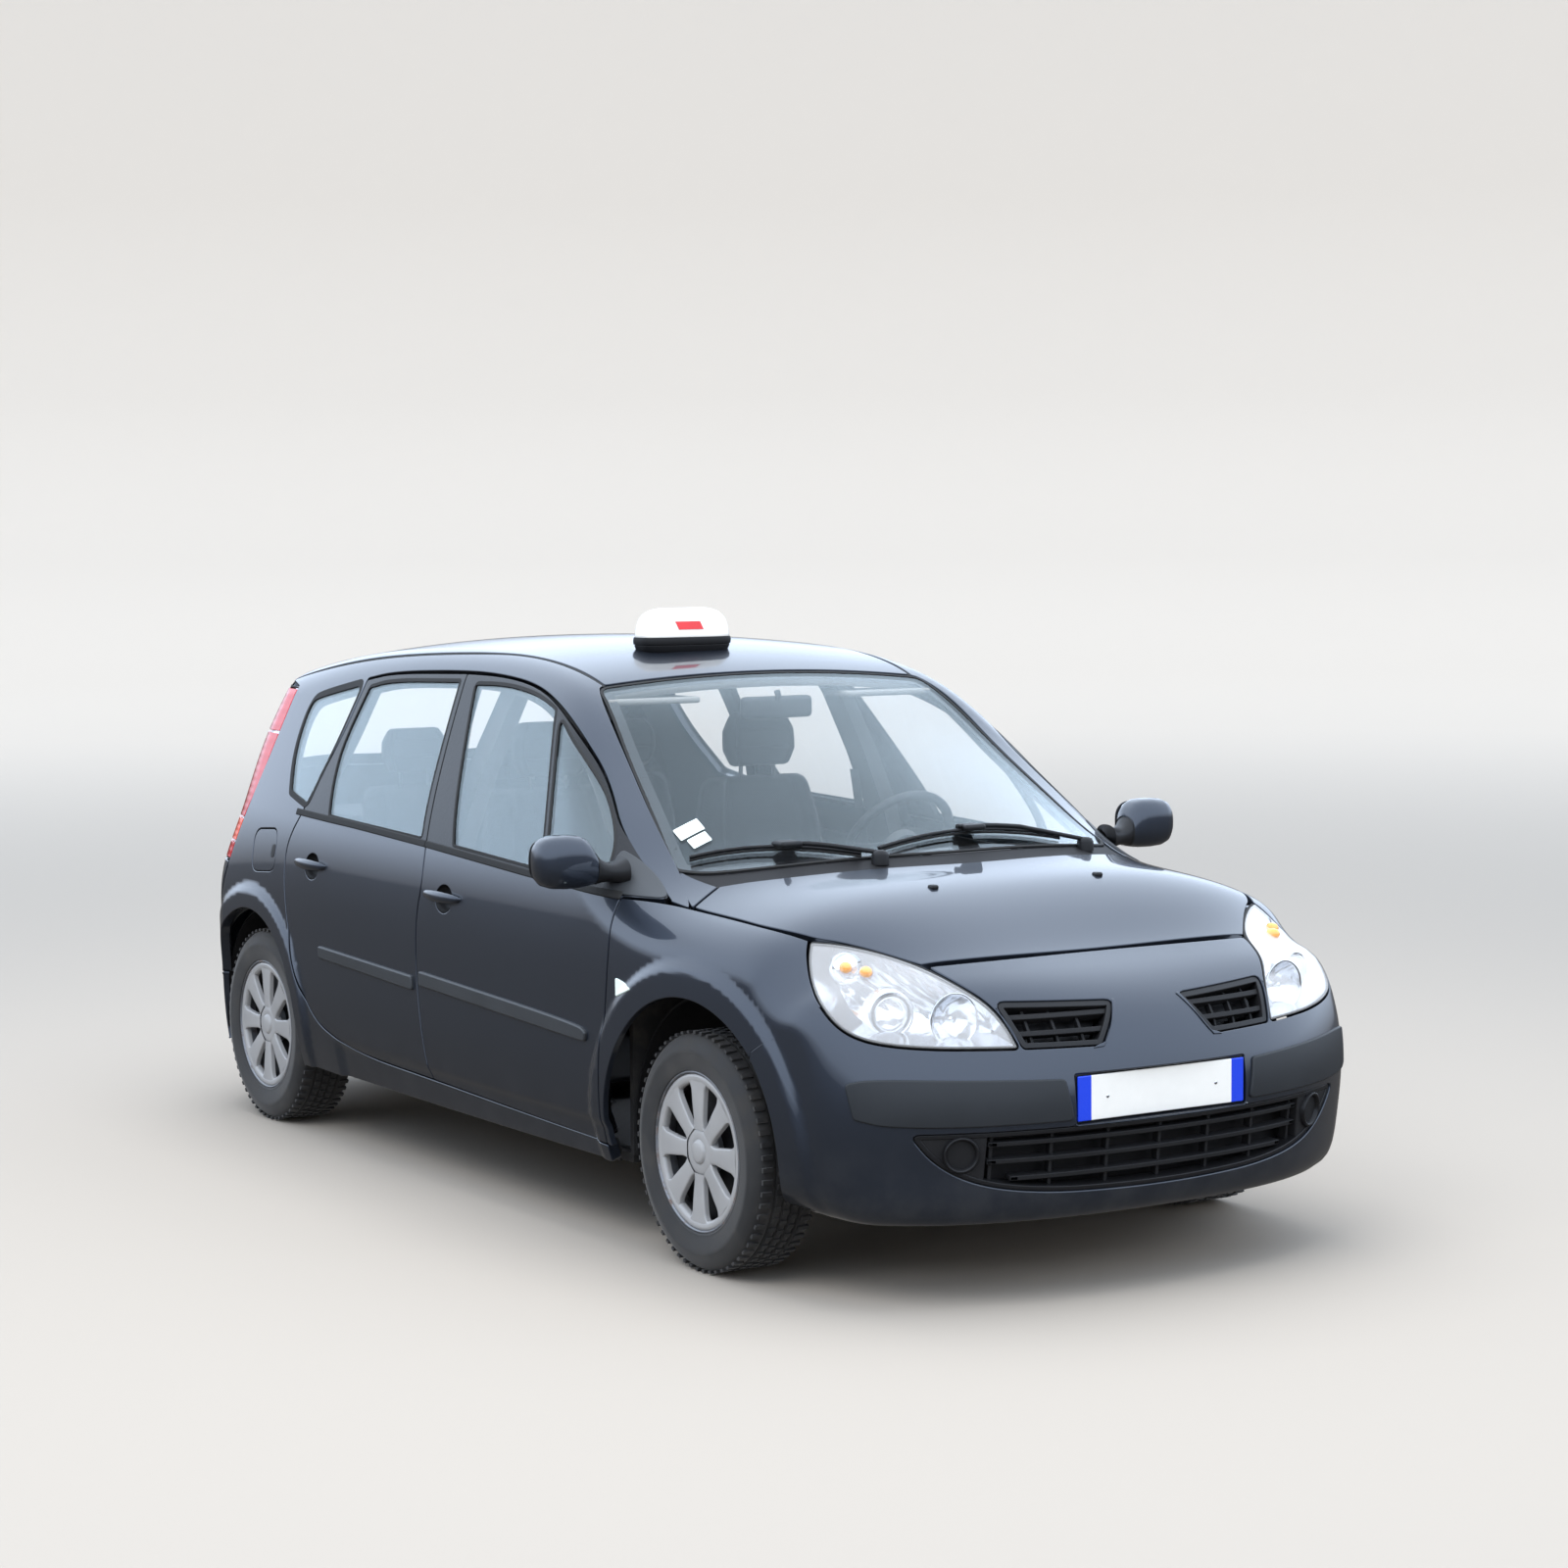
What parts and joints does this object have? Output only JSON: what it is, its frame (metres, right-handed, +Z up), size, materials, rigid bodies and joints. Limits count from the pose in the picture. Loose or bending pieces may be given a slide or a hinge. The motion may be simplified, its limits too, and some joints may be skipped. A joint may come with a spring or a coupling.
{
  "type": "taxi cab",
  "caption": "Compact five-door people-carrier taxi with hollow cabin, opening doors, bonnet and tailgate, steered front wheels, rolling tyres and an illuminated roof sign.",
  "frame": {"origin": "on the ground under the middle of the car, half way along its length", "axes": "+X towards the nose, +Y to the car's left, +Z up"},
  "size_m": [4.2432, 2.104, 1.6559],
  "materials": {
    "paint": "dark slate blue-grey metallic paint under clear lacquer",
    "black_plastic": "grained black plastic",
    "gloss_black": "gloss black trim",
    "glass": "lightly green-tinted safety glass",
    "lamp_clear": "clear lamp cover over bright reflectors",
    "lamp_red": "red lamp lens",
    "sign": "white translucent moulding",
    "plate": "white reflective sheet, blank",
    "underbody": "dark sealed steel",
    "cast": "dark castings",
    "steel": "plain steel",
    "alloy": "bare aluminium",
    "cover": "silver lacquered wheel cover",
    "tyre": "black treaded rubber",
    "cloth": "grey woven seat cloth",
    "interior": "dark soft-touch cabin plastic"
  },
  "bodies": {
    "body": {"arch_liners": "black_plastic", "bulkhead": "underbody", "bumper_strips": "black_plastic", "cowl": "black_plastic", "crash_beam": "steel", "dashboard": "interior", "engine_block": "cast", "exhaust": "steel", "floor_pan": "underbody", "front_bumper": "paint", "front_seats": "cloth", "front_subframe": "underbody", "front_wings": "paint", "fuel_tank": "underbody", "grilles": "black_plastic", "headlamps": "lamp_clear", "middle_pillars": "underbody", "plate_front": "plate", "quarter_glasses": "glass", "radiator": "alloy", "rear_axle": "underbody", "rear_bench": "cloth", "rear_bumper": "paint", "roof_panel": "paint", "roof_sign_foot": "gloss_black", "roof_sign_lamp": "sign", "side_frames": "paint", "tail_lamps": "lamp_red", "windscreen": "glass", "wipers": "black_plastic"},
    "door_front_right": {"door_front_right": "paint", "door_glass_front_right": "glass", "mirror_right": "paint"},
    "door_rear_right": {"door_rear_right": "paint", "door_glass_rear_right": "glass"},
    "knuckle_right": {"knuckle_right": "cast"},
    "wheel_front_right": {"wheel_front_right": "cover", "tyre_front_right": "tyre"},
    "wheel_rear_right": {"wheel_rear_right": "cover", "tyre_rear_right": "tyre"},
    "door_front_left": {"door_front_left": "paint", "door_glass_front_left": "glass", "mirror_left": "paint"},
    "door_rear_left": {"door_rear_left": "paint", "door_glass_rear_left": "glass"},
    "knuckle_left": {"knuckle_left": "cast"},
    "wheel_front_left": {"wheel_front_left": "cover", "tyre_front_left": "tyre"},
    "wheel_rear_left": {"wheel_rear_left": "cover", "tyre_rear_left": "tyre"},
    "bonnet": {"bonnet": "paint"},
    "tailgate": {"tailgate": "paint", "tailgate_glass": "glass", "plate_rear": "plate"},
    "steering_wheel": {"steering_wheel": "interior"}
  },
  "joints": [
    {"name": "door_front_right_hinge", "type": "hinge", "parent": "body", "child": "door_front_right", "pos_m": [0.915, -0.893, 0.7], "axis": [0, 0, 1], "range_deg": [0, 65]},
    {"name": "door_rear_right_hinge", "type": "hinge", "parent": "body", "child": "door_rear_right", "pos_m": [-0.15, -0.894, 0.7], "axis": [0, 0, 1], "range_deg": [0, 65]},
    {"name": "door_front_left_hinge", "type": "hinge", "parent": "body", "child": "door_front_left", "pos_m": [0.915, 0.893, 0.7], "axis": [0, 0, -1], "range_deg": [0, 65]},
    {"name": "door_rear_left_hinge", "type": "hinge", "parent": "body", "child": "door_rear_left", "pos_m": [-0.15, 0.894, 0.7], "axis": [0, 0, -1], "range_deg": [0, 65]},
    {"name": "bonnet_hinge", "type": "hinge", "parent": "body", "child": "bonnet", "pos_m": [1.12, 0, 0.985], "axis": [0, -1, 0], "range_deg": [0, 50]},
    {"name": "tailgate_hinge", "type": "hinge", "parent": "body", "child": "tailgate", "pos_m": [-1.709, 0, 1.478], "axis": [0, 1, 0], "range_deg": [0, 80]},
    {"name": "steer_right", "type": "hinge", "parent": "body", "child": "knuckle_right", "pos_m": [1.2815, -0.672, 0.205], "axis": [0, 0.1572, 0.9876], "range_deg": [-33, 33]},
    {"name": "wheel_front_right_spin", "type": "hinge", "parent": "knuckle_right", "child": "wheel_front_right", "pos_m": [1.2815, -0.757, 0.31], "axis": [0, 1, 0], "continuous": true},
    {"name": "wheel_rear_right_spin", "type": "hinge", "parent": "body", "child": "wheel_rear_right", "pos_m": [-1.4035, -0.757, 0.31], "axis": [0, 1, 0], "continuous": true},
    {"name": "steer_left", "type": "hinge", "parent": "body", "child": "knuckle_left", "pos_m": [1.2815, 0.672, 0.205], "axis": [0, -0.1572, 0.9876], "range_deg": [-33, 33]},
    {"name": "wheel_front_left_spin", "type": "hinge", "parent": "knuckle_left", "child": "wheel_front_left", "pos_m": [1.2815, 0.757, 0.31], "axis": [0, 1, 0], "continuous": true},
    {"name": "wheel_rear_left_spin", "type": "hinge", "parent": "body", "child": "wheel_rear_left", "pos_m": [-1.4035, 0.757, 0.31], "axis": [0, 1, 0], "continuous": true},
    {"name": "steering_wheel_turn", "type": "hinge", "parent": "body", "child": "steering_wheel", "pos_m": [0.42, 0.37, 0.96], "axis": [-0.848, 0, 0.5299], "range_deg": [-470, 470]}
  ],
  "couplings": [
    {"joint": "steer_right", "follows": "steer_left", "ratio": 1},
    {"joint": "steering_wheel_turn", "follows": "steer_left", "ratio": 14.2}
  ]
}
